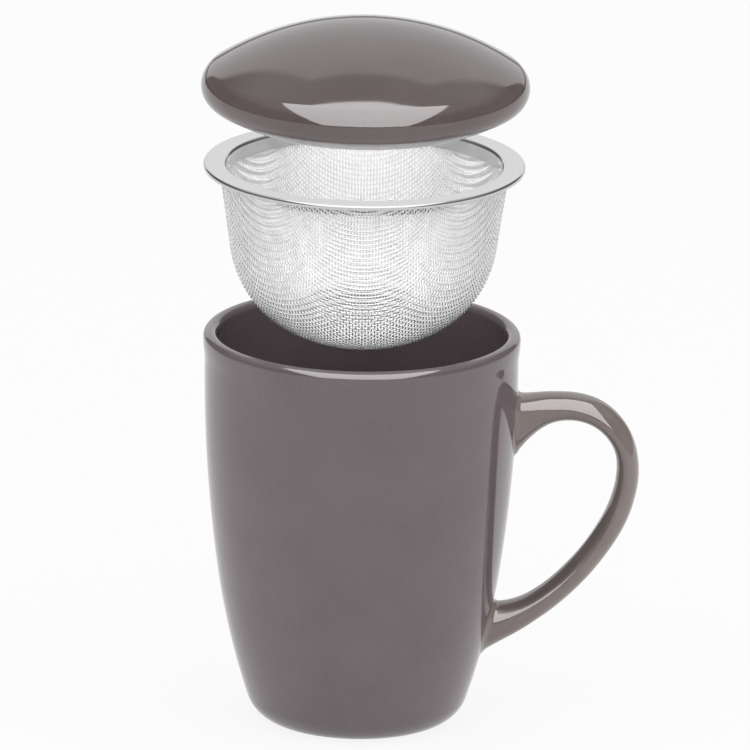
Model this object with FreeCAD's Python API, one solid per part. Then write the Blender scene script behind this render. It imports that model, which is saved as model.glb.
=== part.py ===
import FreeCAD, Part
import math
import os

# Lidded tea mug with a wire mesh infuser, in millimetres, +Z up.
# The origin is on the table under the mug's axis, and the handle points along +X.
# The infuser is raised above the mug, and the lid is raised above the infuser.

# Mug body: two tangent curves from the lip to the base, with an even wall and a foot ring
mug_height = 108.0
wall_outer_radius = 42.1
wall_thickness = 3.4
lip_overhang = 0.5
lip_flare_height = 6.65
upper_wall_curve = 396.0
lower_wall_curve = 209.0
wall_bend_height = 42.7
base_corner_radius = 10.0
floor_thickness = 6.0
floor_corner_radius = 12.0
foot_inner_radius = 17.0
foot_recess_depth = 1.8
foot_recess_draft = 0.8

# Mug handle: a strap that follows two arcs and flares into both of its roots
handle_top_drop = 20.5
bow_reach = 11.9
bow_radius = 17.65
bow_sweep = 106.0
limb_radius = 57.1
limb_sweep = 58.0
strap_thickness = 6.3
strap_width = 11.0
strap_squareness = 2.6
root_width = 13.0
root_embedment = 4.0
top_root_reach = 12.1
top_root_drop = 8.5
low_root_reach = 13.0
low_root_rise = 3.5
low_root_drop = 2.7

# Infuser rim: a pressed steel flange with a turned-down edge and a drawn collar
sheet_thickness = 0.55
rim_overhang = 0.5
rim_edge_drop = 1.35
rim_edge_radius = 0.8
collar_height = 4.3
collar_corner_radius = 1.05

# Infuser basket: woven wire cloth that is welded round the outside of the collar
cloth_thickness = 0.6
weld_gap = 0.05
basket_skirt_height = 5.5
basket_taper = 8.2
basket_shoulder_radius = 30.3
basket_bottom_radius = 68.0
basket_depth = 49.9

# Basket openings: a plain grid, as the number of openings in each row down the bowl
grid_columns = (16, 16, 16, 8)
grid_rib_width = 3.2
grid_hub_radius = 4.5

# Lid: a hollow cast lens on a flat foot ring, with an open underside
lid_radius = 44.05
lid_dome_height = 17.2
lid_dome_edge_radius = 6.2
lid_under_height = 14.9
lid_under_edge_radius = 5.4
lid_foot_depth = 8.5
lid_foot_rounding = 1.2
lid_wall = 4.4
lid_cavity_edge_radius = 3.0
lid_cavity_under_height = 13.8

# Fits, and how far the loose pieces are raised from their seats
basket_clearance = 0.5
seat_gap = 0.3
infuser_raise = 45.75
lid_raise = 14.4

lip_inner_radius = wall_outer_radius - wall_thickness
lip_outer_radius = wall_outer_radius + lip_overhang
lip_radius = (lip_outer_radius - lip_inner_radius) / 2
lip_centre_height = mug_height - lip_radius
wall_widest_height = lip_centre_height - lip_flare_height
handle_top_height = mug_height - handle_top_drop
bow_centre_x = wall_outer_radius + bow_reach
basket_radius = lip_inner_radius - basket_clearance
collar_outer_radius = basket_radius - cloth_thickness - weld_gap
collar_inner_radius = collar_outer_radius - sheet_thickness
opening_radius = collar_inner_radius + collar_corner_radius
rim_radius = lip_outer_radius + rim_overhang


def point(x, z):
    return FreeCAD.Vector(x, 0, z)


def turned(radius, degrees):
    # A step of one length in the XZ plane, at an angle that runs from +X towards +Z
    turn = math.radians(degrees)
    return point(radius * math.cos(turn), radius * math.sin(turn))


def line(start, end):
    return Part.LineSegment(start, end).toShape()


def arc(centre, radius, first, last):
    # An arc in the XZ plane between two angles, the smaller one first
    circle = Part.Circle(centre, FreeCAD.Vector(0, -1, 0), radius)
    circle.XAxis = FreeCAD.Vector(1, 0, 0)
    return Part.ArcOfCircle(circle, math.radians(first), math.radians(last)).toShape()


def revolve(edges):
    # Turn a closed outline in the XZ plane into a solid about the Z axis
    outline = Part.Wire(Part.__sortEdges__(edges))
    return Part.Face(outline).revolve(FreeCAD.Vector(0, 0, 0), FreeCAD.Vector(0, 0, 1), 360)


def wall_face(inset, corner_radius, floor_height):
    # One face of the mug's wall, down to the corner that turns into a level floor
    upper_centre = point(wall_outer_radius - upper_wall_curve, wall_widest_height)
    bend = math.degrees(math.asin((wall_bend_height - wall_widest_height) / upper_wall_curve))
    lower_centre = upper_centre + turned(upper_wall_curve - lower_wall_curve, bend)
    lower_radius = lower_wall_curve - inset
    corner_drop = floor_height + corner_radius - lower_centre.z
    corner_reach = math.sqrt((lower_radius - corner_radius) ** 2 - corner_drop ** 2)
    corner_start = math.degrees(math.atan2(corner_drop, corner_reach))
    corner_centre = lower_centre + point(corner_reach, corner_drop)
    edges = [
        arc(upper_centre, upper_wall_curve - inset, bend, 0),
        arc(lower_centre, lower_radius, corner_start, bend),
        arc(corner_centre, corner_radius, -90, corner_start),
    ]
    return edges, point(corner_centre.x, floor_height)


def lip_flare():
    # A gentle S that leads from the wall out to the side of the rolled lip
    half_height = lip_flare_height / 2
    half_step = lip_overhang / 2
    radius = (half_height ** 2 + half_step ** 2) / lip_overhang
    sweep = math.degrees(math.asin(half_height / radius))
    return [
        arc(point(wall_outer_radius + radius, wall_widest_height), radius, 180 - sweep, 180),
        arc(point(lip_outer_radius - radius, lip_centre_height), radius, -sweep, 0),
    ]


def make_mug_body():
    outside, foot_edge = wall_face(0, base_corner_radius, 0)
    inside, floor_edge = wall_face(wall_thickness, floor_corner_radius, floor_thickness)
    recess_foot = point(foot_inner_radius, 0)
    recess_top = point(foot_inner_radius - foot_recess_draft, foot_recess_depth)
    return revolve(outside + inside + lip_flare() + [
        arc(point(lip_inner_radius + lip_radius, lip_centre_height), lip_radius, 0, 180),
        line(point(lip_inner_radius, lip_centre_height), point(lip_inner_radius, wall_widest_height)),
        line(floor_edge, point(0, floor_thickness)),
        line(point(0, floor_thickness), point(0, foot_recess_depth)),
        line(point(0, foot_recess_depth), recess_top),
        line(recess_top, recess_foot),
        line(recess_foot, foot_edge),
    ])


def handle_path():
    # Stations down the strap: centre, inward direction, nearness to the top and to the low root
    bow_centre = point(bow_centre_x, handle_top_height - bow_radius)
    limb_start = 90 - bow_sweep
    limb_centre = bow_centre - turned(limb_radius - bow_radius, limb_start)
    start_x = wall_outer_radius - root_embedment
    stations = []
    straight_steps = 5
    for step in range(straight_steps):
        x = start_x + (bow_centre_x - start_x) * step / straight_steps
        nearness = 1 - (x - start_x - root_embedment) / top_root_reach
        stations.append((point(x, handle_top_height), point(0, -1), nearness, 0))
    bow_steps = 5
    for step in range(bow_steps):
        angle = 90 - bow_sweep * step / bow_steps
        stations.append((bow_centre + turned(bow_radius, angle), turned(-1, angle), 0, 0))
    limb_steps = 8
    limb_length = math.radians(limb_sweep) * limb_radius
    for step in range(limb_steps + 1):
        angle = limb_start - limb_sweep * step / limb_steps
        left = limb_length * (1 - step / limb_steps) - root_embedment
        nearness = 1 - left / low_root_reach
        stations.append((limb_centre + turned(limb_radius, angle), turned(-1, angle), 0, nearness))
    return stations


def strap_section(centre, inward, top_nearness, low_nearness):
    # A rounded oblong across the strap, thicker and wider where it nears a root
    top = min(1, max(0, top_nearness))
    low = min(1, max(0, low_nearness))
    inner_half = strap_thickness / 2 + top_root_drop * top ** 2.2 + low_root_rise * low ** 2
    outer_half = strap_thickness / 2 + low_root_drop * low ** 2
    half_width = strap_width / 2 + (root_width - strap_width) / 2 * max(top, low) ** 2
    corner_count = 16
    outline = []
    for corner in range(corner_count):
        turn = 2 * math.pi * corner / corner_count
        across = math.copysign(abs(math.cos(turn)) ** (2 / strap_squareness), math.cos(turn))
        along = math.copysign(abs(math.sin(turn)) ** (2 / strap_squareness), math.sin(turn))
        depth = inner_half if along > 0 else outer_half
        outline.append(centre + inward * (along * depth) + FreeCAD.Vector(0, across * half_width, 0))
    curve = Part.BSplineCurve()
    curve.interpolate(Points=outline, PeriodicFlag=True)
    return Part.Wire([curve.toShape()])


def make_mug_handle():
    # The strap is cut back to the body's outer face, so both roots follow its curve
    strap = Part.makeLoft([strap_section(*station) for station in handle_path()], True, False)
    outside, foot_edge = wall_face(0, base_corner_radius, 0)
    shoulder = point(wall_outer_radius, wall_widest_height)
    core = revolve(outside + [
        line(foot_edge, point(0, 0)),
        line(point(0, 0), point(0, shoulder.z)),
        line(point(0, shoulder.z), shoulder),
    ])
    return strap.cut(core).Solids[0]


def make_infuser_rim(top):
    corner = point(opening_radius, top - collar_corner_radius)
    edge = point(rim_radius - rim_edge_radius, top - rim_edge_radius)
    foot = top - collar_height
    hem = top - rim_edge_drop
    under = top - sheet_thickness
    hem_inner_radius = rim_radius - sheet_thickness
    return revolve([
        line(point(collar_inner_radius, foot), point(collar_inner_radius, corner.z)),
        arc(corner, collar_corner_radius, 90, 180),
        line(point(corner.x, top), point(edge.x, top)),
        arc(edge, rim_edge_radius, 0, 90),
        line(point(rim_radius, edge.z), point(rim_radius, hem)),
        line(point(rim_radius, hem), point(hem_inner_radius, hem)),
        line(point(hem_inner_radius, hem), point(hem_inner_radius, edge.z)),
        arc(edge, rim_edge_radius - sheet_thickness, 0, 90),
        line(point(edge.x, under), point(corner.x, under)),
        arc(corner, collar_corner_radius - sheet_thickness, 90, 180),
        line(point(collar_outer_radius, corner.z), point(collar_outer_radius, foot)),
        line(point(collar_outer_radius, foot), point(collar_inner_radius, foot)),
    ])


def bowl_path(top):
    # Outside of the bowl in section: the skirt's foot, the two arc centres and the angle where the arcs meet
    skirt_foot = point(basket_radius, top - basket_skirt_height)
    bottom_centre = point(0, top - basket_depth + basket_bottom_radius)
    inward = turned(1, 180 - basket_taper)
    down = turned(1, 270 - basket_taper)
    offset = skirt_foot + inward * basket_shoulder_radius - bottom_centre
    along = offset.dot(down)
    reach = basket_bottom_radius - basket_shoulder_radius
    run = math.sqrt(along ** 2 - offset.dot(offset) + reach ** 2) - along
    shoulder_centre = bottom_centre + offset + down * run
    bend = math.degrees(math.atan2(shoulder_centre.z - bottom_centre.z, shoulder_centre.x))
    return skirt_foot, shoulder_centre, bottom_centre, bend


def cloth_face(top, inset):
    # One face of the cloth: an upright skirt, a tapered wall, a shoulder arc and a bottom arc
    skirt_foot, shoulder_centre, bottom_centre, bend = bowl_path(top)
    shoulder_radius = basket_shoulder_radius - inset
    skirt_top = point(basket_radius - inset, top - collar_corner_radius - weld_gap)
    skirt_foot = skirt_foot - point(inset, 0)
    edges = [
        line(skirt_top, skirt_foot),
        line(skirt_foot, shoulder_centre + turned(shoulder_radius, -basket_taper)),
        arc(shoulder_centre, shoulder_radius, bend, -basket_taper),
        arc(bottom_centre, basket_bottom_radius - inset, -90, bend),
    ]
    return edges, skirt_top, point(0, top - basket_depth + inset)


def bowl_lengths(top):
    # Lengths down the bowl's outside: the tapered wall, the shoulder arc and the bottom arc
    skirt_foot, shoulder_centre, bottom_centre, bend = bowl_path(top)
    wall_end = shoulder_centre + turned(basket_shoulder_radius, -basket_taper)
    shoulder = math.radians(-basket_taper - bend) * basket_shoulder_radius
    return (wall_end - skirt_foot).Length, shoulder, math.radians(bend + 90) * basket_bottom_radius


def bowl_station(top, distance):
    # A point at a distance below the skirt along the bowl's outside, and the outward direction there
    skirt_foot, shoulder_centre, bottom_centre, bend = bowl_path(top)
    wall, shoulder, bottom = bowl_lengths(top)
    if distance < wall:
        return skirt_foot + turned(distance, 270 - basket_taper), turned(1, -basket_taper)
    if distance < wall + shoulder:
        angle = -basket_taper - math.degrees((distance - wall) / basket_shoulder_radius)
        return shoulder_centre + turned(basket_shoulder_radius, angle), turned(1, angle)
    angle = bend - math.degrees((distance - wall - shoulder) / basket_bottom_radius)
    return bottom_centre + turned(basket_bottom_radius, angle), turned(1, angle)


def grid_row(top, first, last, columns):
    # Wedges that cut one row of openings, between two distances down the bowl
    upper, upper_out = bowl_station(top, first)
    lower, lower_out = bowl_station(top, last)
    reach = 2 * cloth_thickness
    outline = Part.makePolygon([
        upper - upper_out * reach, upper + upper_out * reach,
        lower + lower_out * reach, lower - lower_out * reach, upper - upper_out * reach])
    axis = FreeCAD.Vector(0, 0, 1)
    rib = math.degrees(2 * grid_rib_width / (upper.x + lower.x))
    wedge = Part.Face(outline).revolve(FreeCAD.Vector(0, 0, 0), axis, 360 / columns - rib)
    wedges = []
    for column in range(columns):
        opening = wedge.copy()
        opening.rotate(FreeCAD.Vector(0, 0, 0), axis, 360 * column / columns + rib / 2)
        wedges.append(opening)
    return wedges


def make_infuser_basket(top):
    outer, outer_top, outer_bottom = cloth_face(top, 0)
    inner, inner_top, inner_bottom = cloth_face(top, cloth_thickness)
    bowl = revolve(outer + inner + [line(outer_top, inner_top), line(outer_bottom, inner_bottom)])
    row_pitch = (sum(bowl_lengths(top)) - grid_hub_radius) / len(grid_columns)
    openings = []
    for row, columns in enumerate(grid_columns):
        openings += grid_row(top, row * row_pitch, (row + 1) * row_pitch - grid_rib_width, columns)
    return bowl.cut(openings).Solids[0]


def cap_radius(radius, edge_radius, rise):
    # The cap arc is centred on the axis and runs tangent into the edge arc
    return ((radius - edge_radius) ** 2 + rise ** 2 - edge_radius ** 2) / (2 * (rise - edge_radius))


def dome_face(height, radius, edge_radius, rise):
    # A face of the lens from its widest circle up to the axis
    cap = cap_radius(radius, edge_radius, rise)
    join = math.degrees(math.atan2(cap - rise, radius - edge_radius))
    return [
        arc(point(radius - edge_radius, height), edge_radius, 0, join),
        arc(point(0, height + rise - cap), cap, join, 90),
    ]


def under_face(height, radius, edge_radius, rise, side):
    # A face below the widest circle, rounded into the foot ring from outside (1) or from inside (-1)
    cap = cap_radius(radius, edge_radius, rise)
    cap_centre = point(0, height - rise + cap)
    join = math.degrees(math.atan2(rise - cap, radius - edge_radius))
    corner_drop = height - lid_foot_depth + lid_foot_rounding - cap_centre.z
    corner_reach = math.sqrt((cap - side * lid_foot_rounding) ** 2 - corner_drop ** 2)
    corner_centre = cap_centre + point(corner_reach, corner_drop)
    slope = math.degrees(math.atan2(corner_drop, corner_reach))
    corner_angles = (-90, slope) if side == 1 else (180 + slope, 270)
    edges = [
        arc(point(radius - edge_radius, height), edge_radius, join, 0),
        arc(cap_centre, cap, slope, join),
        arc(corner_centre, lid_foot_rounding, *corner_angles),
    ]
    return edges, corner_centre - point(0, lid_foot_rounding)


def make_lid(height):
    cavity_radius = lid_radius - lid_wall
    cavity_rise = lid_dome_height - lid_wall
    dome = dome_face(height, lid_radius, lid_dome_edge_radius, lid_dome_height)
    roof = dome_face(height, cavity_radius, lid_cavity_edge_radius, cavity_rise)
    under, foot_outside = under_face(height, lid_radius, lid_under_edge_radius, lid_under_height, 1)
    floor, foot_inside = under_face(
        height, cavity_radius, lid_cavity_edge_radius, lid_cavity_under_height, -1)
    return revolve(dome + roof + under + floor + [
        line(foot_outside, foot_inside),
        line(point(0, height + cavity_rise), point(0, height + lid_dome_height)),
    ])


def seated_lid_height(top):
    # Height of the lens's widest circle when its underside rests in the collar's rounded corner
    cap = cap_radius(lid_radius, lid_under_edge_radius, lid_under_height)
    standoff = cap + collar_corner_radius + seat_gap
    cap_centre = top - collar_corner_radius + math.sqrt(standoff ** 2 - opening_radius ** 2)
    return cap_centre - cap + lid_under_height


infuser_top = mug_height + seat_gap + sheet_thickness + infuser_raise
lid_height = seated_lid_height(infuser_top) + lid_raise

parts = {
    "mug_body": make_mug_body(),
    "mug_handle": make_mug_handle(),
    "infuser_rim": make_infuser_rim(infuser_top),
    "infuser_basket": make_infuser_basket(infuser_top),
    "lid": make_lid(lid_height),
}

os.makedirs("parts", exist_ok=True)
for node, shape in parts.items():
    shape.exportStep("parts/" + node + ".step")
    box = shape.BoundBox
    print(node, shape.isValid(), len(shape.Solids), round(shape.Volume), [round(v, 2) for v in (
        box.XMin, box.XMax, box.YMin, box.YMax, box.ZMin, box.ZMax)])
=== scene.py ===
import bpy
import bmesh
import math

import numpy as np
from mathutils import Matrix, Quaternion, Vector


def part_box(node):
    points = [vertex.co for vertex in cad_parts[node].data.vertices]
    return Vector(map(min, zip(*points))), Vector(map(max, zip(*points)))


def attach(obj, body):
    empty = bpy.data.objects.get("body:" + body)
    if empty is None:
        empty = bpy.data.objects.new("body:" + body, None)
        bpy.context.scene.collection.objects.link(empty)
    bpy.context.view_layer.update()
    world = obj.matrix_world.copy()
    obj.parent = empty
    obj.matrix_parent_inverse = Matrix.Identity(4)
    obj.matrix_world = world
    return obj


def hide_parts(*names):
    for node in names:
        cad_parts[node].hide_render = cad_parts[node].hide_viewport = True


# Lidded tea mug with a wire mesh infuser: glazed stoneware, pressed steel and woven steel wire.
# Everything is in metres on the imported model's frame. Sizes below are in millimetres.

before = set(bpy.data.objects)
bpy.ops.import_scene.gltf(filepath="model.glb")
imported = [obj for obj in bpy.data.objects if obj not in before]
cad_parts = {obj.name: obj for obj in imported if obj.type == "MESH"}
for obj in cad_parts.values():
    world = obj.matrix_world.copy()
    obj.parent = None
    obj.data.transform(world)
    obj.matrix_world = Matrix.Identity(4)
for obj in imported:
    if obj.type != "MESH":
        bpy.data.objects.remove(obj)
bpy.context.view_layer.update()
rim_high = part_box("infuser_rim")[1]
cup_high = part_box("mug_body")[1]
lid_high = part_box("lid")[1]

MM = 0.001

# Cup: the wall's two curves, its lip and its foot
cup_height = cup_high.z / MM
wall_radius = 42.1
wall_thickness = 3.4
lip_overhang = 0.5
lip_flare_height = 6.65
upper_curve = 396.0
lower_curve = 209.0
bend_height = 42.7
base_corner = 10.0
floor_thickness = 6.0
floor_corner = 12.0
foot_inner_radius = 17.0
foot_recess_depth = 1.8
foot_edge_rounding = 0.7
lip_radius = (wall_thickness + lip_overhang) / 2
lip_centre_height = cup_height - lip_radius
widest_height = lip_centre_height - lip_flare_height

# Handle: a cast strap along two arcs, with a slip fillet where it meets the cup. The low root goes
# on growing past the wall, and the fillet's hidden edge runs on outwards and sinks into the wall
handle_top_height = cup_height - 20.5
bow_centre_x = wall_radius + 11.9
bow_radius = 17.65
bow_sweep = 106.0
limb_radius = 57.1
limb_sweep = 58.0
strap_thickness = 6.3
strap_width = 11.0
strap_squareness = 2.1
root_width = 13.0
root_embedment = 4.0
top_root_reach = 12.1
top_root_drop = 8.5
low_root_reach = 13.0
low_root_rise = 3.5
low_root_drop = 2.7
low_root_overrun = 1.3
top_root_easing = 2.2
slip_fillet = 1.6
fillet_run_on = 0.3
fillet_sink = 0.5
# How far the cast strap stands off the plain one: station along it, outer side, inner side
strap_swell = (
    (8.9, 0.17, 1.12), (11, 0.32, 1.42), (14.9, 0.61, 1.23), (18, 0.85, 0.98),
    (24, 0.85, 0.45), (28.2, 0.95, 0.03), (31.9, 1.17, -0.33), (34.6, 1.28, -0.60),
    (38, 1.15, -0.77), (42.1, 0.90, -0.85), (48.2, 0.54, -0.85), (51.9, 0.22, -0.65),
    (56, 0.05, -0.35), (59.8, 0.05, -0.16), (64, 0.24, -0.30), (70, 0.59, -0.48),
    (76.2, 0.70, -0.50), (85, 0.54, -0.32), (91.4, 0.43, -0.30), (103, 0.52, -0.27),
    (112.2, 0.74, -0.45), (118, 1.02, -0.39), (123.9, 1.24, -0.22), (127, 1.25, -0.19),
    (132, 0.91, -0.30), (136, 0.30, -0.30), (144, -1.0, -0.30),
)
swell_window = 11

# Infuser: the flange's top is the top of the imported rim
flange_top = rim_high.z / MM
flange_radius = wall_radius + lip_overhang + 0.5
sheet = 0.55
hem_drop = 1.35
hem_radius = 0.8
burr_radius = 0.12
collar_height = 4.3
collar_corner = 1.05
cloth_radius = 38.2
collar_outer = cloth_radius - 0.65
collar_inner = collar_outer - sheet

# Wire cloth: the bowl's meridian, and how far below the flange's corner the cloth's top edge ends
cloth_thickness = 0.6
skirt_height = 5.5
bowl_taper = 8.2
shoulder_radius = 30.3
bottom_radius = 68.0
bowl_depth = 49.9
cloth_edge_gap = 0.1

# Weave: real strainer cloth is of finer wire, about 0.2 mm, which would be too fine to show in the
# render, so pitch and wire are drawn as coarse as they need to show
wire_pitch = 0.84
wire_diameter = 0.4
wire_sides = 6

# Drawing the cloth deep: how much longer it gets down the wall, and over which shares of the
# meridian from the pole that sets in
wall_stretch = 1.55
stretch_start = 0.25
stretch_run = 0.45

# Ribs: how far the wires that run round the wall stand proud, and how much flatter they weave
hoop_proud = 0.4
hoop_flat = 0.25

# Pleat: its place round the bowl in degrees, and its depth, half width, foot and fade
pleat_turn = -84.0
pleat_depth = 0.6
pleat_half_width = 0.8
pleat_foot = 8.5
pleat_fade = 2.0

# Lid: the widest circle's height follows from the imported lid's top
lid_radius = 44.05
lid_rise = 17.2
lid_edge = 6.2
lid_under = 14.9
lid_under_edge = 5.4
lid_foot_depth = 8.5
lid_foot_rounding = 1.2
lid_wall = 4.4
cavity_edge = 3.0
cavity_under = 13.8
lid_height = lid_high.z / MM - lid_rise

# How finely the shapes are divided: faces round a turned piece, corners round the strap, rings
# along it and over each fillet, and points down the bowl
around = 256
strap_corners = 72
strap_rings = 150
fillet_rings = 8
meridian_points = 1500


def turned(centre, radius, degrees):
    # The point at one length from a centre, at an angle in degrees
    turn = math.radians(degrees)
    return (centre[0] + radius * math.cos(turn), centre[1] + radius * math.sin(turn))


def arc(centre, radius, first, last, step=3.0):
    # Points of an arc in the profile plane, both ends included
    count = max(2, math.ceil(abs(last - first) / step))
    return [turned(centre, radius, first + (last - first) * k / count) for k in range(count + 1)]


def straight(start, end, pieces=1):
    # Points of a straight run, both ends included
    run, rise = end[0] - start[0], end[1] - start[1]
    return [(start[0] + run * k / pieces, start[1] + rise * k / pieces) for k in range(pieces + 1)]


def joined(*runs):
    # One outline from runs that start where the last one ended
    outline = []
    for run in runs:
        for spot in run:
            if not outline or math.dist(outline[-1], spot) > 1e-5:
                outline.append(spot)
    return outline


def make_piece(name, vertices, faces, body, material):
    # A smooth closed mesh in metres that rides on a body
    mesh = bpy.data.meshes.new(name)
    mesh.from_pydata([tuple(c * MM for c in v) for v in vertices], [], faces)
    work = bmesh.new()
    work.from_mesh(mesh)
    bmesh.ops.recalc_face_normals(work, faces=work.faces)
    work.to_mesh(mesh)
    work.free()
    mesh.shade_smooth()
    piece = bpy.data.objects.new(name, mesh)
    bpy.context.scene.collection.objects.link(piece)
    mesh.materials.append(material)
    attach(piece, body)
    return piece


def turned_piece(name, outline, body, material):
    # Spin an outline of (radius, height) points, whose ends lie on the axis or join each other
    vertices = []
    rows = []
    for radius, height in outline:
        if radius < 1e-6:
            rows.append([len(vertices)] * around)
            vertices.append((0.0, 0.0, height))
            continue
        rows.append(list(range(len(vertices), len(vertices) + around)))
        for k in range(around):
            turn = 2 * math.pi * k / around
            vertices.append((radius * math.cos(turn), radius * math.sin(turn), height))
    if outline[0][0] > 1e-6:
        rows.append(rows[0])
    faces = []
    for low, high in zip(rows, rows[1:]):
        for k in range(around):
            corners = [low[k], low[(k + 1) % around], high[(k + 1) % around], high[k]]
            faces.append(tuple(dict.fromkeys(corners)))
    return make_piece(name, vertices, faces, body, material)


# Materials

# Nearly all of a noise texture's values lie between these two
noise_low = 0.3
noise_high = 0.7


def linear(code):
    # An sRGB hex colour as linear RGBA
    colour = []
    for k in (1, 3, 5):
        part = int(code[k:k + 2], 16) / 255
        colour.append(part / 12.92 if part <= 0.04045 else ((part + 0.055) / 1.055) ** 2.4)
    return tuple(colour) + (1.0,)


def add(tree, kind, inputs=None, **settings):
    # Add a node, set its properties, and set or link its inputs
    node = tree.nodes.new(kind)
    for name, value in settings.items():
        setattr(node, name, value)
    for key, value in (inputs or {}).items():
        if isinstance(value, bpy.types.NodeSocket):
            tree.links.new(value, node.inputs[key])
        else:
            node.inputs[key].default_value = value
    return node


def new_material(name):
    # A material, its node tree and its shader
    material = bpy.data.materials.new(name)
    material.use_nodes = True
    tree = material.node_tree
    return material, tree, tree.nodes["Principled BSDF"]


def stoneware_glaze(name, deep, thin):
    # Warm grey glossy glaze, dipped over cast stoneware and fired. The eye gets a clear wet shine
    # that waves a little, over a tone that clouds where the glaze lies deep or thin
    cloud_width = 18 * MM
    speck_width = 1.1 * MM
    ripple_width = 14 * MM
    ripple_height = 0.05 * MM
    material, tree, surface = new_material(name)
    place = add(tree, "ShaderNodeTexCoord").outputs["Object"]
    cloud = add(tree, "ShaderNodeTexNoise", {
        "Vector": place, "Scale": 1 / cloud_width, "Detail": 3.0})
    speck = add(tree, "ShaderNodeTexNoise", {
        "Vector": place, "Scale": 1 / speck_width, "Detail": 2.0})
    tone = add(tree, "ShaderNodeValToRGB", {"Fac": cloud.outputs["Fac"]})
    tone.color_ramp.elements[0].position = noise_low
    tone.color_ramp.elements[0].color = linear(deep)
    tone.color_ramp.elements[1].position = noise_high
    tone.color_ramp.elements[1].color = linear(thin)
    grain = add(tree, "ShaderNodeMapRange", {
        "Value": speck.outputs["Fac"], "From Min": noise_low, "From Max": noise_high,
        "To Min": 0.97, "To Max": 1.03})
    colour = add(tree, "ShaderNodeVectorMath", {
        0: tone.outputs["Color"], 1: grain.outputs["Result"]}, operation="MULTIPLY")
    ripple = add(tree, "ShaderNodeTexNoise", {
        "Vector": place, "Scale": 1 / ripple_width, "Detail": 1.0})
    bump = add(tree, "ShaderNodeBump", {
        "Height": ripple.outputs["Fac"], "Strength": 1.0, "Distance": ripple_height})
    tree.links.new(colour.outputs["Vector"], surface.inputs["Base Color"])
    tree.links.new(bump.outputs["Normal"], surface.inputs["Normal"])
    surface.inputs["Roughness"].default_value = 0.07
    surface.inputs["IOR"].default_value = 1.6
    return material


def pressed_steel():
    # Bright stainless sheet, pressed and turned. The eye gets a soft mirror with rings of fine
    # scratches, which are drawn wider apart than real ones so that they show
    ring_width = 0.5 * MM
    material, tree, surface = new_material("stainless_sheet_pressed")
    place = add(tree, "ShaderNodeTexCoord").outputs["Object"]
    level = add(tree, "ShaderNodeVectorMath", {0: place, 1: (1, 1, 0)}, operation="MULTIPLY")
    radius = add(tree, "ShaderNodeVectorMath", {0: level.outputs["Vector"]}, operation="LENGTH")
    turned_rings = add(tree, "ShaderNodeCombineXYZ", {"X": radius.outputs["Value"]})
    smear = add(tree, "ShaderNodeTexNoise", {
        "Vector": turned_rings.outputs["Vector"], "Scale": 1 / ring_width, "Detail": 3.0})
    rough = add(tree, "ShaderNodeMapRange", {
        "Value": smear.outputs["Fac"], "From Min": noise_low, "From Max": noise_high,
        "To Min": 0.12, "To Max": 0.20})
    surface.inputs["Base Color"].default_value = linear("#cacaca")
    surface.inputs["Metallic"].default_value = 1.0
    tree.links.new(rough.outputs["Result"], surface.inputs["Roughness"])
    return material


def woven_steel():
    # Drawn stainless wire, woven into cloth. The eye gets pale wires, soft in their shine, whose
    # tone varies a little from patch to patch
    patch_width = 2.5 * MM
    material, tree, surface = new_material("stainless_wire_woven")
    place = add(tree, "ShaderNodeTexCoord").outputs["Object"]
    patch = add(tree, "ShaderNodeTexNoise", {
        "Vector": place, "Scale": 1 / patch_width, "Detail": 2.0})
    tone = add(tree, "ShaderNodeValToRGB", {"Fac": patch.outputs["Fac"]})
    tone.color_ramp.elements[0].position = noise_low
    tone.color_ramp.elements[0].color = linear("#dedede")
    tone.color_ramp.elements[1].position = noise_high
    tone.color_ramp.elements[1].color = linear("#e8e8e8")
    tree.links.new(tone.outputs["Color"], surface.inputs["Base Color"])
    surface.inputs["Metallic"].default_value = 1.0
    surface.inputs["Roughness"].default_value = 0.5
    return material


glaze_cup = stoneware_glaze("warm_grey_glaze_cup", "#60565a", "#665b5f")
# The handle wears the cup's glaze, painted lighter here: painted light on the strap
handle_glaze_painted_light = stoneware_glaze("warm_grey_glaze_painted_light_handle", "#695f5d", "#756a67")
glaze_lid = stoneware_glaze("warm_grey_glaze_lid", "#594d4e", "#5f5354")
steel_sheet = pressed_steel()
steel_wire = woven_steel()


# Cup

def wall_centres():
    # Centres of the wall's two curves, and the angle at which they meet
    upper = (wall_radius - upper_curve, widest_height)
    bend = math.degrees(math.asin((bend_height - widest_height) / upper_curve))
    lower = turned(upper, upper_curve - lower_curve, bend)
    return upper, lower, bend


def wall_side(inset, corner, floor):
    # One face of the wall from its widest circle down to the edge of a level floor
    upper, lower, bend = wall_centres()
    radius = lower_curve - inset
    drop = floor + corner - lower[1]
    reach = math.sqrt((radius - corner) ** 2 - drop ** 2)
    start = math.degrees(math.atan2(drop, reach))
    corner_centre = (lower[0] + reach, floor + corner)
    return joined(
        arc(upper, upper_curve - inset, 0, bend, step=0.35),
        arc(lower, radius, bend, start, step=0.5),
        arc(corner_centre, corner, start, -90),
    )


def flare():
    # The gentle S between the wall and the side of the lip, from below
    half_height = lip_flare_height / 2
    half_step = lip_overhang / 2
    radius = (half_height ** 2 + half_step ** 2) / lip_overhang
    sweep = math.degrees(math.asin(half_height / radius))
    return joined(
        arc((wall_radius + radius, widest_height), radius, 180, 180 - sweep, step=2),
        arc((wall_radius + lip_overhang - radius, lip_centre_height), radius, -sweep, 0, step=2),
    )


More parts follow.
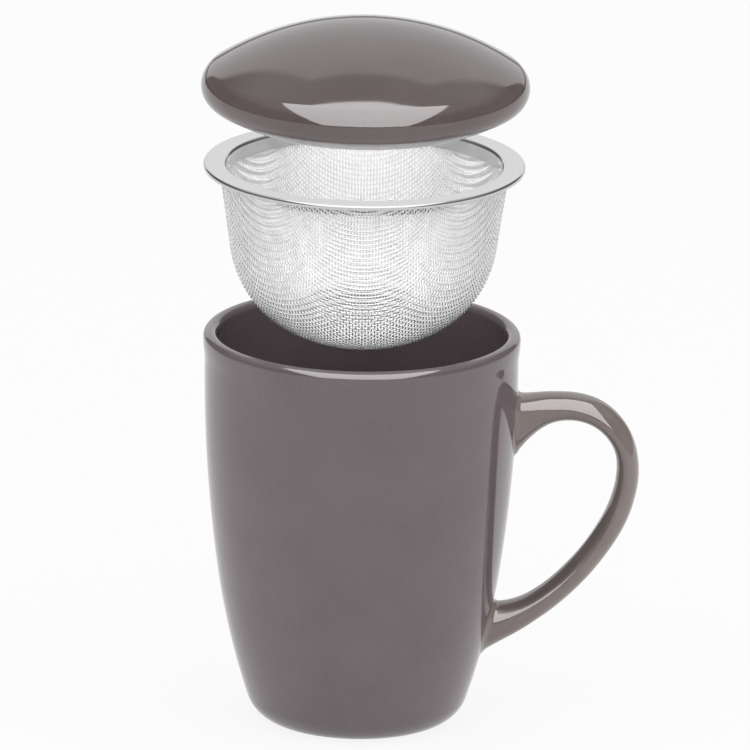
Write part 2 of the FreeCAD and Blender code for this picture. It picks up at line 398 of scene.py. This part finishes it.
def make_cup():
    # One wall from the foot's recess up the outside, over the lip and down to the floor
    inner = wall_radius - wall_thickness
    outside = wall_side(0, base_corner, 0)
    inside = wall_side(wall_thickness, floor_corner, floor_thickness)
    edge = foot_edge_rounding
    recess = joined(
        [(0, foot_recess_depth)],
        arc((foot_inner_radius - edge, foot_recess_depth - edge), edge, 90, 0, step=15),
        arc((foot_inner_radius + edge, edge), edge, 180, 270, step=15),
    )
    outline = joined(
        recess,
        list(reversed(outside)),
        flare(),
        arc((inner + lip_radius, lip_centre_height), lip_radius, 0, 180, step=4),
        inside,
        [(0, floor_thickness)],
    )
    piece = turned_piece("cup", outline, "mug", glaze_cup)
    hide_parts("mug_body")
    return piece


# Handle

def handle_stations():
    # Centre, inward direction, and nearness to the top and to the low root
    bow = (bow_centre_x, handle_top_height - bow_radius)
    limb_start = 90 - bow_sweep
    limb = turned(bow, -(limb_radius - bow_radius), limb_start)
    start_x = wall_radius - root_embedment
    stations = []
    straight_steps, bow_steps, limb_steps = 24, 40, 80
    for step in range(straight_steps):
        x = start_x + (bow_centre_x - start_x) * step / straight_steps
        nearness = 1 - (x - start_x - root_embedment) / top_root_reach
        stations.append(((x, handle_top_height), (0, -1), nearness, 0))
    for step in range(bow_steps):
        angle = 90 - bow_sweep * step / bow_steps
        stations.append((turned(bow, bow_radius, angle), turned((0, 0), -1, angle), 0, 0))
    length = math.radians(limb_sweep) * limb_radius
    for step in range(limb_steps + 1):
        angle = limb_start - limb_sweep * step / limb_steps
        left = length * (1 - step / limb_steps) - root_embedment
        stations.append((turned(limb, limb_radius, angle), turned((0, 0), -1, angle), 0,
                         1 - left / low_root_reach))
    return stations


def strap_lines():
    # Points of the bare strap, one row for each station, one column for each line along it
    rows = []
    stations = handle_stations()
    at, outer_swell, inner_swell = np.array(strap_swell).T
    window = np.hanning(swell_window)[1:-1]
    spread = window / window.sum()
    beyond = len(window) // 2
    index = np.arange(-beyond, len(stations) + beyond)
    outer_swell = np.convolve(np.interp(index, at, outer_swell), spread, "valid")
    inner_swell = np.convolve(np.interp(index, at, inner_swell), spread, "valid")
    for step, (centre, inward, top, low) in enumerate(stations):
        top = min(1, max(0, top))
        low = min(low_root_overrun, max(0, low))
        outer_half = strap_thickness / 2 + low_root_drop * low ** 2 + outer_swell[step]
        low = min(1, low)
        inner_half = (strap_thickness / 2 + top_root_drop * top ** top_root_easing
                      + low_root_rise * low ** 2 + inner_swell[step])
        half_width = strap_width / 2 + (root_width - strap_width) / 2 * max(top, low) ** 2
        row = []
        for corner in range(strap_corners):
            turn = 2 * math.pi * corner / strap_corners
            across = math.copysign(abs(math.cos(turn)) ** (2 / strap_squareness), math.cos(turn))
            along = math.copysign(abs(math.sin(turn)) ** (2 / strap_squareness), math.sin(turn))
            depth = along * (inner_half if along > 0 else outer_half)
            row.append((centre[0] + inward[0] * depth, across * half_width,
                        centre[1] + inward[1] * depth))
        rows.append(row)
    return np.array(rows)


def wall_at(height):
    # Radius and outward slope of the cup's outer wall at some heights
    upper, lower, bend = wall_centres()
    above = height > bend_height
    centre_r = np.where(above, upper[0], lower[0])
    centre_z = np.where(above, upper[1], lower[1])
    curve = np.where(above, upper_curve, lower_curve)
    slope = np.arcsin(np.clip((height - centre_z) / curve, -1, 1))
    return centre_r + curve * np.cos(slope), slope


def wall_gap(points):
    # Distance from the cup's outer wall, positive outside it
    radius, slope = wall_at(points[..., 2])
    return (np.hypot(points[..., 0], points[..., 1]) - radius) * np.cos(slope)


def on_wall(points, gap):
    # Move points along their radius until they stand a given distance from the wall
    radius, slope = wall_at(points[..., 2])
    factor = (radius + gap / np.cos(slope)) / np.hypot(points[..., 0], points[..., 1])
    return np.stack([points[..., 0] * factor, points[..., 1] * factor, points[..., 2]], -1)


def root_rings(rows):
    # Rings of the slip fillet from the strap to the wall, for rows that run out from the wall
    gap = wall_gap(rows)
    columns = rows.shape[1]

    def at_gap(value):
        ring = np.empty((columns, 3))
        for c in range(columns):
            for axis in range(3):
                ring[c, axis] = np.interp(value, gap[:, c], rows[:, c, axis])
        return ring

    rings = []
    for step in range(fillet_rings + 1):
        turn = math.pi / 2 * step / fillet_rings
        stand_off = slip_fillet * (1 - math.sin(turn))
        spread = slip_fillet * (1 - math.cos(turn))
        ring = at_gap(stand_off)
        slope = wall_at(ring[:, 2])[1]
        turn_round = np.arctan2(ring[:, 1], ring[:, 0])
        wall_normal = np.stack([np.cos(slope) * np.cos(turn_round),
                                np.cos(slope) * np.sin(turn_round), np.sin(slope)], -1)
        ahead = np.roll(ring, -1, axis=0) - np.roll(ring, 1, axis=0)
        outward = np.cross(ahead, wall_normal)
        outward /= np.linalg.norm(outward, axis=1, keepdims=True)
        middle = ring.mean(axis=0)
        outward *= np.sign(((ring - middle) * outward).sum(axis=1).mean())
        rings.append(on_wall(ring + outward * spread, np.full(columns, stand_off)))
    sunk = on_wall(rings[-1] + outward * fillet_run_on, np.full(columns, -fillet_sink))
    return [sunk] + rings[::-1]


def make_handle():
    # The strap between the two fillets, both fillets, and a cap inside the wall at each root
    rows = strap_lines()
    half = len(rows) // 2
    gap = wall_gap(rows)
    top_rings = root_rings(rows[:half])
    low_rings = root_rings(rows[half:][::-1])
    middle = np.empty((strap_rings - 1, strap_corners, 3))
    index = np.arange(len(rows))
    for c in range(strap_corners):
        first = np.interp(slip_fillet, gap[:half, c], index[:half])
        last = np.interp(-slip_fillet, -gap[half:, c], index[half:])
        spots = first + (last - first) * np.arange(1, strap_rings) / strap_rings
        for axis in range(3):
            middle[:, c, axis] = np.interp(spots, index, rows[:, c, axis])
    rings = top_rings + list(middle) + low_rings[::-1]
    vertices = [tuple(v) for ring in rings for v in ring]
    faces = []
    for r in range(len(rings) - 1):
        here = r * strap_corners
        ahead = here + strap_corners
        for c in range(strap_corners):
            d = (c + 1) % strap_corners
            faces.append((here + c, here + d, ahead + d, ahead + c))
    for ring, base in ((rings[0], 0), (rings[-1], (len(rings) - 1) * strap_corners)):
        vertices.append(tuple(on_wall(ring.mean(axis=0), -fillet_sink)))
        for c in range(strap_corners):
            faces.append((base + c, base + (c + 1) % strap_corners, len(vertices) - 1))
    piece = make_piece("handle", vertices, faces, "mug", handle_glaze_painted_light)
    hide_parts("mug_handle")
    return piece


# Infuser flange

def make_flange():
    # From the collar's foot up its inside, over the flange, round the hem and back underneath
    top = flange_top
    corner = (collar_inner + collar_corner, top - collar_corner)
    hem = (flange_radius - hem_radius, top - hem_radius)
    foot = top - collar_height
    under = top - sheet
    hem_foot = top - hem_drop
    burr = burr_radius
    outline = joined(
        straight((collar_inner, foot + burr), (collar_inner, corner[1]), pieces=3),
        arc(corner, collar_corner, 180, 90, step=9),
        straight((corner[0], top), (hem[0], top), pieces=3),
        arc(hem, hem_radius, 90, 0, step=9),
        straight((flange_radius, hem[1]), (flange_radius, hem_foot + burr)),
        arc((flange_radius - burr, hem_foot + burr), burr, 0, -90, step=30),
        arc((flange_radius - sheet + burr, hem_foot + burr), burr, -90, -180, step=30),
        straight((flange_radius - sheet, hem_foot + burr), (flange_radius - sheet, hem[1])),
        arc(hem, hem_radius - sheet, 0, 90, step=15),
        straight((hem[0], under), (corner[0], under), pieces=3),
        arc(corner, collar_corner - sheet, 90, 180, step=15),
        straight((collar_outer, corner[1]), (collar_outer, foot + burr), pieces=3),
        arc((collar_outer - burr, foot + burr), burr, 0, -90, step=30),
        arc((collar_inner + burr, foot + burr), burr, -90, -175, step=30),
    )
    piece = turned_piece("flange", outline, "infuser", steel_sheet)
    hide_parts("infuser_rim")
    return piece


# Wire cloth

def bowl_profile(inset):
    # The cloth's middle line from the pole up to its top edge: length so far, radius and height
    taper = math.radians(bowl_taper)
    foot = (cloth_radius, flange_top - skirt_height)
    bottom = (0.0, flange_top - bowl_depth + bottom_radius)
    inward = (-math.cos(taper), math.sin(taper))
    down = (-math.sin(taper), -math.cos(taper))
    offset = (foot[0] + inward[0] * shoulder_radius - bottom[0],
              foot[1] + inward[1] * shoulder_radius - bottom[1])
    along = offset[0] * down[0] + offset[1] * down[1]
    reach = bottom_radius - shoulder_radius
    run = math.sqrt(along ** 2 - offset[0] ** 2 - offset[1] ** 2 + reach ** 2) - along
    shoulder = (bottom[0] + offset[0] + down[0] * run, bottom[1] + offset[1] + down[1] * run)
    bend = math.degrees(math.atan2(shoulder[1] - bottom[1], shoulder[0]))
    start = turned(shoulder, shoulder_radius - inset, -bowl_taper)
    skirt = (cloth_radius - inset, foot[1])
    top = (cloth_radius - inset, flange_top - collar_corner - cloth_edge_gap)
    outline = joined(
        arc(bottom, bottom_radius - inset, -90, bend, step=0.5),
        arc(shoulder, shoulder_radius - inset, bend, -bowl_taper, step=1.0),
        straight(start, skirt, pieces=20),
        straight(skirt, top, pieces=8),
    )
    points = np.array(outline)
    length = np.concatenate([[0], np.cumsum(np.hypot(*np.diff(points, axis=0).T))])
    even = np.linspace(0, length[-1], meridian_points)
    radius = np.interp(even, length, points[:, 0])
    height = np.interp(even, length, points[:, 1])
    return even, radius, height


def stretched_bowl(length, radius):
    # A squatter bowl with the same radii, on which the cloth lies before it is drawn deep
    depth = length / length[-1]
    stretch = 1 + (wall_stretch - 1) * np.clip((depth - stretch_start) / stretch_run, 0, 1)
    mean_stretch = (stretch[1:] + stretch[:-1]) / 2
    slack = np.concatenate([[0], np.cumsum(np.diff(length) / mean_stretch)])
    slope = np.gradient(radius, slack)
    rise = np.sqrt(np.clip(1 - slope ** 2, 0, None))
    height = np.concatenate([[0], np.cumsum((rise[1:] + rise[:-1]) / 2 * np.diff(slack))])
    return slack, height


def draped_net(slack, radius, height):
    # One quarter of a square net laid over the squat bowl, with each side of each cell one pitch
    # long. Newton's method finds the crossings, each from the three before it
    rounds = 25
    nudge = 1e-4
    smallest = 1e-9
    limit = slack[-1]
    count = int(limit / wire_pitch) + 2
    along = np.full((count, count), np.inf)
    turn = np.zeros((count, count))
    along[:, 0] = np.arange(count) * wire_pitch
    along[0, :] = np.arange(count) * wire_pitch
    turn[0, :] = math.pi / 2

    def place(s, t):
        r = np.interp(s, slack, radius)
        return np.stack([r * np.cos(t), r * np.sin(t), np.interp(s, slack, height)], -1)

    for ring in range(2, 2 * count - 1):
        i = np.arange(max(1, ring - count + 1), min(ring, count))
        j = ring - i
        keep = (j >= 1) & (along[i - 1, j] < limit) & (along[i, j - 1] < limit)
        i, j = i[keep], j[keep]
        if len(i) == 0:
            break
        a = place(along[i - 1, j], turn[i - 1, j])
        b = place(along[i, j - 1], turn[i, j - 1])
        c = place(along[i - 1, j - 1], turn[i - 1, j - 1])
        guess = a + b - c
        t = np.arctan2(guess[:, 1], guess[:, 0])
        s = (along[i - 1, j] + along[i, j - 1]) / 2 + 0.5 * wire_pitch
        for _ in range(rounds):
            p = place(s, t)
            ps = (place(s + nudge, t) - p) / nudge
            pt = (place(s, t + nudge) - p) / nudge
            fa = ((p - a) ** 2).sum(-1) - wire_pitch ** 2
            fb = ((p - b) ** 2).sum(-1) - wire_pitch ** 2
            a1, a2 = 2 * ((p - a) * ps).sum(-1), 2 * ((p - a) * pt).sum(-1)
            b1, b2 = 2 * ((p - b) * ps).sum(-1), 2 * ((p - b) * pt).sum(-1)
            det = a1 * b2 - a2 * b1
            det = np.where(np.abs(det) < smallest, smallest, det)
            s = s - np.clip((fa * b2 - fb * a2) / det, -0.5, 0.5)
            t = t - np.clip((a1 * fb - b1 * fa) / det, -0.1, 0.1)
        along[i, j] = s
        turn[i, j] = t
    return along, turn


def wire_paths(family):
    # Each wire of one family as its crossings: place, outward normal, and lift to its own side of
    # the cloth in wire diameters
    inset = cloth_thickness / 2
    length, radius, height = bowl_profile(inset)
    slack, squat = stretched_bowl(length, radius)
    along, turn = draped_net(slack, radius, squat)
    edge = slack[-1]
    count = len(along)
    grid = range(-count + 1, count)

    def spot(i, j, s, t):
        r = np.interp(s, slack, radius)
        z = np.interp(s, slack, height)
        step = 0.4
        dr = np.interp(s + step, slack, radius) - np.interp(s - step, slack, radius)
        dz = np.interp(s + step, slack, height) - np.interp(s - step, slack, height)
        size = math.hypot(dr, dz)
        x = r * math.cos(t) * (1 if i >= 0 else -1)
        y = r * math.sin(t) * (1 if j >= 0 else -1)
        # The slack of the cloth is gathered in one short pleat under the flange
        apart = math.remainder(math.atan2(y, x) - math.radians(pleat_turn), 2 * math.pi)
        beside = apart * r / pleat_half_width
        raised = min(1.0, max(0.0, (z - flange_top + pleat_foot) / pleat_fade))
        fold = pleat_depth * math.exp(-beside ** 2) * raised
        x, y = x * (1 - fold / max(r, 1.0)), y * (1 - fold / max(r, 1.0))
        reach = max(r, 1e-6)
        normal = (dz / size * x / reach, dz / size * y / reach, -dr / size)
        # Drawing the cloth over a die leaves the wires that run round the wall proud, as fine ribs
        round_wall = (y * y - x * x) / reach ** 2 * (1 if family == 0 else -1)
        hoop = round_wall * min(1.0, (r / cloth_radius) ** 2)
        return (x, y, z), normal, hoop

    paths = []
    for fixed in grid:
        path = []
        for moving in grid:
            i, j = (moving, fixed) if family == 0 else (fixed, moving)
            s, t = along[abs(i), abs(j)], turn[abs(i), abs(j)]
            if s > edge:
                continue
            position, normal, hoop = spot(i, j, s, t)
            side = 1 if (i + j + family) % 2 == 0 else -1
            lift = hoop_proud * hoop + side * (0.5 - hoop_flat * abs(hoop))
            path.append((position, normal, lift))
        if len(path) > 2:
            paths.append(path)
    return paths


def wire_tree():
    # Geometry nodes that lift each crossing to its side of the cloth and run a wire along each path
    tree = bpy.data.node_groups.new("woven_wires", "GeometryNodeTree")
    tree.interface.new_socket("Paths", in_out="INPUT", socket_type="NodeSocketGeometry")
    for name in ("Wire diameter", "Crossing lift"):
        socket = tree.interface.new_socket(name, in_out="INPUT", socket_type="NodeSocketFloat")
        socket.default_value = wire_diameter * MM
    sides = tree.interface.new_socket("Sides", in_out="INPUT", socket_type="NodeSocketInt")
    sides.default_value = wire_sides
    tree.interface.new_socket("Finish", in_out="INPUT", socket_type="NodeSocketMaterial")
    tree.interface.new_socket("Wires", in_out="OUTPUT", socket_type="NodeSocketGeometry")
    given = add(tree, "NodeGroupInput").outputs
    side = add(tree, "GeometryNodeInputNamedAttribute", {"Name": "side"}, data_type="FLOAT")
    normal = add(tree, "GeometryNodeInputNamedAttribute", {"Name": "out"}, data_type="FLOAT_VECTOR")
    lift = add(tree, "ShaderNodeMath", {0: side.outputs["Attribute"], 1: given["Crossing lift"]},
               operation="MULTIPLY")
    shift = add(tree, "ShaderNodeVectorMath", {
        0: normal.outputs["Attribute"], "Scale": lift.outputs[0]}, operation="SCALE")
    lifted = add(tree, "GeometryNodeSetPosition", {
        "Geometry": given["Paths"], "Offset": shift.outputs[0]})
    curves = add(tree, "GeometryNodeMeshToCurve", {"Mesh": lifted.outputs["Geometry"]})
    radius = add(tree, "ShaderNodeMath", {0: given["Wire diameter"], 1: 0.5}, operation="MULTIPLY")
    ring = add(tree, "GeometryNodeCurvePrimitiveCircle", {
        "Resolution": given["Sides"], "Radius": radius.outputs[0]})
    wires = add(tree, "GeometryNodeCurveToMesh", {
        "Curve": curves.outputs["Curve"], "Profile Curve": ring.outputs["Curve"],
        "Fill Caps": True})
    smooth = add(tree, "GeometryNodeSetShadeSmooth", {"Geometry": wires.outputs["Mesh"]})
    whole = add(tree, "GeometryNodeRealizeInstances", {"Geometry": smooth.outputs["Geometry"]})
    finish = add(tree, "GeometryNodeSetMaterial", {
        "Geometry": whole.outputs["Geometry"], "Material": given["Finish"]})
    add(tree, "NodeGroupOutput", {"Wires": finish.outputs["Geometry"]})
    return tree


def make_wires(name, family, tree):
    # One family of wires as a plain mesh
    paths = wire_paths(family)
    spots = [p for path in paths for p in path]
    edges = []
    start = 0
    for path in paths:
        edges += [(start + k, start + k + 1) for k in range(len(path) - 1)]
        start += len(path)
    mesh = bpy.data.meshes.new(name + "_paths")
    mesh.from_pydata([tuple(c * MM for c in p[0]) for p in spots], edges, [])
    side = mesh.attributes.new("side", "FLOAT", "POINT")
    side.data.foreach_set("value", [float(p[2]) for p in spots])
    out = mesh.attributes.new("out", "FLOAT_VECTOR", "POINT")
    out.data.foreach_set("vector", [c for p in spots for c in p[1]])
    guide = bpy.data.objects.new(name + "_paths", mesh)
    bpy.context.scene.collection.objects.link(guide)
    modifier = guide.modifiers.new("woven", "NODES")
    modifier.node_group = tree
    for item in tree.interface.items_tree:
        if item.item_type == "SOCKET" and item.name == "Finish":
            modifier[item.identifier] = steel_wire
    depsgraph = bpy.context.evaluated_depsgraph_get()
    woven = bpy.data.meshes.new_from_object(guide.evaluated_get(depsgraph), depsgraph=depsgraph)
    woven.name = name
    bpy.data.objects.remove(guide)
    piece = bpy.data.objects.new(name, woven)
    bpy.context.scene.collection.objects.link(piece)
    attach(piece, "infuser")
    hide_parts("infuser_basket")
    return piece


# Lid

def cap_of(radius, edge, rise):
    # Radius of the cap that rises this far over a rounded edge
    return ((radius - edge) ** 2 + rise ** 2 - edge ** 2) / (2 * (rise - edge))


def dome(radius, edge, rise):
    # From the widest circle up to the axis
    cap = cap_of(radius, edge, rise)
    meet = math.degrees(math.atan2(cap - rise, radius - edge))
    return joined(
        arc((radius - edge, lid_height), edge, 0, meet, step=3),
        arc((0, lid_height + rise - cap), cap, meet, 90, step=0.75),
    )


def underside(radius, edge, rise, side):
    # From the widest circle down to the flat of the foot ring, outside (1) or inside (-1)
    cap = cap_of(radius, edge, rise)
    cap_height = lid_height - rise + cap
    meet = math.degrees(math.atan2(rise - cap, radius - edge))
    drop = lid_height - lid_foot_depth + lid_foot_rounding - cap_height
    reach = math.sqrt((cap - side * lid_foot_rounding) ** 2 - drop ** 2)
    slope = math.degrees(math.atan2(drop, reach))
    turn = (slope, -90) if side == 1 else (180 + slope, 270)
    return joined(
        arc((radius - edge, lid_height), edge, 0, meet, step=3),
        arc((0, cap_height), cap, meet, slope, step=0.75),
        arc((reach, cap_height + drop), lid_foot_rounding, *turn, step=10),
    )


def make_lid():
    # The dome, the underside to the foot ring, and the same two inside the hollow
    inside = lid_radius - lid_wall
    outline = joined(
        list(reversed(dome(lid_radius, lid_edge, lid_rise))),
        underside(lid_radius, lid_under_edge, lid_under, 1),
        list(reversed(underside(inside, cavity_edge, cavity_under, -1))),
        dome(inside, cavity_edge, lid_rise - lid_wall),
    )
    outline[0] = (0.0, outline[0][1])
    outline[-1] = (0.0, outline[-1][1])
    piece = turned_piece("lens_lid", outline, "lid", glaze_lid)
    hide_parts("lid")
    return piece


cup = make_cup()
handle = make_handle()
flange = make_flange()
weave = wire_tree()
warp = make_wires("warp_wires", 0, weave)
weft = make_wires("weft_wires", 1, weave)
lid = make_lid()

# The lifted pieces are lit as if each stood alone: soft light passes them, and the lid neither
# shades the flange and cloth nor shows in them
for piece in (flange, warp, weft, lid):
    piece.visible_diffuse = False
lid.visible_shadow = False
lid.visible_glossy = False


# Stage, light and camera. Every level is a brightness at which 1 is white

# Table: its half size in metres, and its share of plain white to the camera and in gloss
floor_half = 3.0
floor_glow = 0.88

# Backdrop in gloss: places as sideways and upward slope from straight behind, with soft edges
backdrop_middle = 0.04
backdrop_half = 0.54
backdrop_side_fade = 0.05
backdrop_top = 1.73
backdrop_top_fade = 0.13
backdrop_low_level = 1.0
backdrop_high_level = 1.3

# The rest of the gloss: heights are of a ray of length 1. Along the level is a dark gap
lit_low, lit_high = 0.2, 0.85
room_low, room_high = 0.4, 0.75
room_level = 0.15
ceiling_level = 0.65
gap_half, gap_end = 0.03, 0.05
gap_level = 0.3

# The even light on everything that isn't gloss
diffuse_level = 0.8

# Lamps: where they face, in metres
lamp_target = Vector((0, 0, 0.1))

# Camera: the photo's view, in degrees, metres and millimetres, and its frame in pixels
camera_elevation = 16.0
camera_roll = 0.85
camera_distance = 8.0
camera_target = (3.65, 0, 95.56)
camera_clip = (0.1, 50)
frame_width = 750
pixels_per_mm = 3.73


def make_floor():
    # Matt white paper that keeps a faint shadow and stays almost white to the camera
    size = floor_half
    corners = [(-size, -size, 0), (size, -size, 0), (size, size, 0), (-size, size, 0)]
    mesh = bpy.data.meshes.new("table")
    mesh.from_pydata(corners, [], [(0, 1, 2, 3)])
    table = bpy.data.objects.new("table", mesh)
    bpy.context.scene.collection.objects.link(table)
    material, tree, surface = new_material("white_paper_sweep")
    surface.inputs["Base Color"].default_value = linear("#f2f2f2")
    surface.inputs["Roughness"].default_value = 0.9
    glow = add(tree, "ShaderNodeEmission", {"Color": (1, 1, 1, 1), "Strength": 1.0})
    path = add(tree, "ShaderNodeLightPath")
    seen = add(tree, "ShaderNodeMath", {
        0: path.outputs["Is Camera Ray"], 1: path.outputs["Is Glossy Ray"]}, operation="MAXIMUM")
    share = add(tree, "ShaderNodeMath", {0: seen.outputs[0], 1: floor_glow}, operation="MULTIPLY")
    mix = add(tree, "ShaderNodeMixShader", {
        "Fac": share.outputs[0], 1: surface.outputs["BSDF"], 2: glow.outputs["Emission"]})
    tree.links.new(mix.outputs["Shader"], tree.nodes["Material Output"].inputs["Surface"])
    mesh.materials.append(material)


def make_world():
    # White to the camera, and an even level in soft light. Gloss sees a lit backdrop behind the
    # object in a darker room with a paler ceiling, and a dark gap where the room meets the table
    world = bpy.data.worlds.new("studio")
    bpy.context.scene.world = world
    world.use_nodes = True
    tree = world.node_tree
    tree.nodes.clear()
    place = add(tree, "ShaderNodeTexCoord").outputs["Generated"]
    split = add(tree, "ShaderNodeSeparateXYZ", {"Vector": place})

    def maths(operation, first, second=0.0):
        return add(tree, "ShaderNodeMath", {0: first, 1: second}, operation=operation).outputs[0]

    def ramp(value, low, high, start, end):
        return add(tree, "ShaderNodeMapRange", {
            "Value": value, "From Min": low, "From Max": high, "To Min": start, "To Max": end},
            interpolation_type="SMOOTHSTEP").outputs["Result"]

    def fading(value, end, fade):
        return ramp(value, end - fade, end + fade, 1.0, 0.0)

    behind = maths("MAXIMUM", split.outputs["Y"], 1e-4)
    sideways = maths("SUBTRACT", maths("DIVIDE", split.outputs["X"], behind), backdrop_middle)
    across = maths("ABSOLUTE", sideways)
    up = maths("DIVIDE", split.outputs["Z"], behind)
    inside = maths("MULTIPLY", fading(across, backdrop_half, backdrop_side_fade),
                   fading(up, backdrop_top, backdrop_top_fade))
    lit = ramp(split.outputs["Z"], lit_low, lit_high, backdrop_low_level, backdrop_high_level)
    room = ramp(split.outputs["Z"], room_low, room_high, room_level, ceiling_level)
    studio = add(tree, "ShaderNodeMix", {"Factor": inside, "A": room, "B": lit}, data_type="FLOAT")
    edge = ramp(maths("ABSOLUTE", split.outputs["Z"]), gap_half, gap_end, gap_level, 1.0)
    reflected = maths("MULTIPLY", studio.outputs["Result"], edge)
    path = add(tree, "ShaderNodeLightPath")
    seen = maths("MAXIMUM", path.outputs["Is Camera Ray"], path.outputs["Is Transmission Ray"])
    spread = add(tree, "ShaderNodeMix", {
        "Factor": path.outputs["Is Diffuse Ray"], "A": reflected, "B": diffuse_level},
        data_type="FLOAT")
    level = add(tree, "ShaderNodeMix", {"Factor": seen, "A": spread.outputs["Result"], "B": 1.0},
                data_type="FLOAT")
    shine = add(tree, "ShaderNodeBackground", {
        "Color": (1, 1, 1, 1), "Strength": level.outputs["Result"]})
    add(tree, "ShaderNodeOutputWorld", {"Surface": shine.outputs["Background"]})


def area_light(name, top, foot, width, level, receivers=()):
    # A soft light whose middle line runs from top to foot, with a given brightness and width, which
    # faces the object. With receivers it lights these pieces alone
    top = Vector(top)
    foot = Vector(foot)
    down = (foot - top).normalized()
    middle = (top + foot) / 2
    across = down.cross(lamp_target - middle).normalized()
    light = bpy.data.lights.new(name, "AREA")
    light.shape = "RECTANGLE"
    light.size = width
    light.size_y = (foot - top).length
    light.energy = level * math.pi * light.size * light.size_y
    lamp = bpy.data.objects.new(name, light)
    bpy.context.scene.collection.objects.link(lamp)
    back = across.cross(-down)
    lamp.matrix_world = Matrix((
        (across.x, -down.x, back.x, middle.x),
        (across.y, -down.y, back.y, middle.y),
        (across.z, -down.z, back.z, middle.z),
        (0, 0, 0, 1)))
    if receivers:
        group = bpy.data.collections.new(name + "_receivers")
        for piece in receivers:
            group.objects.link(piece)
        lamp.light_linking.receiver_collection = group
    return lamp


def make_camera():
    # A long lens from the front, a little above level and tipped a little to one side
    elevation = math.radians(camera_elevation)
    target = Vector(camera_target) * MM
    view_width = frame_width / pixels_per_mm * MM
    back = Vector((0, -math.cos(elevation), math.sin(elevation)))
    level = (-back).to_track_quat("-Z", "Y")
    data = bpy.data.cameras.new("camera")
    data.lens = data.sensor_width * camera_distance / view_width
    data.clip_start, data.clip_end = camera_clip
    camera = bpy.data.objects.new("camera", data)
    bpy.context.scene.collection.objects.link(camera)
    camera.location = target + back * camera_distance
    camera.rotation_mode = "QUATERNION"
    camera.rotation_quaternion = Quaternion(back, math.radians(camera_roll)) @ level
    bpy.context.scene.camera = camera


make_floor()
make_world()

# Fill lights that gloss doesn't show: name, pieces lit, top, foot, width and level
for name, pieces, top, foot, width, level in (
        ("softbox", (), (0, -0.3, 1.1), (0, -1.0, 0.5), 1.2, 0.5),
        ("right_fill", (), (1.0, -0.35, 0.6), (1.0, -0.35, 0.02), 0.8, 1.8),
        ("left_fill", (), (-1.0, -0.35, 0.6), (-1.0, -0.35, 0.02), 0.8, 1.5),
        ("handle_fill", (handle,), (0.6, -0.5, 0.12), (0.6, -0.5, 0.01), 0.8, 6.0)):
    area_light(name, top, foot, width, level, pieces).visible_glossy = False

# Shine cards overhead, one for each finish, that only gloss shows: name, pieces, width and level
card_top, card_foot = (0, 0.2, 1.15), (0, -1.0, 0.2)
for name, pieces, width, level in (
        ("glaze_card", (cup, handle, lid), 1.12, 6.0),
        ("sheet_card", (flange,), 1.12, 1.2),
        ("cloth_card", (warp, weft), 2.4, 2.6)):
    card = area_light(name, card_top, card_foot, width, level, pieces)
    card.visible_diffuse = False

make_camera()
bpy.context.scene.view_settings.view_transform = "Standard"
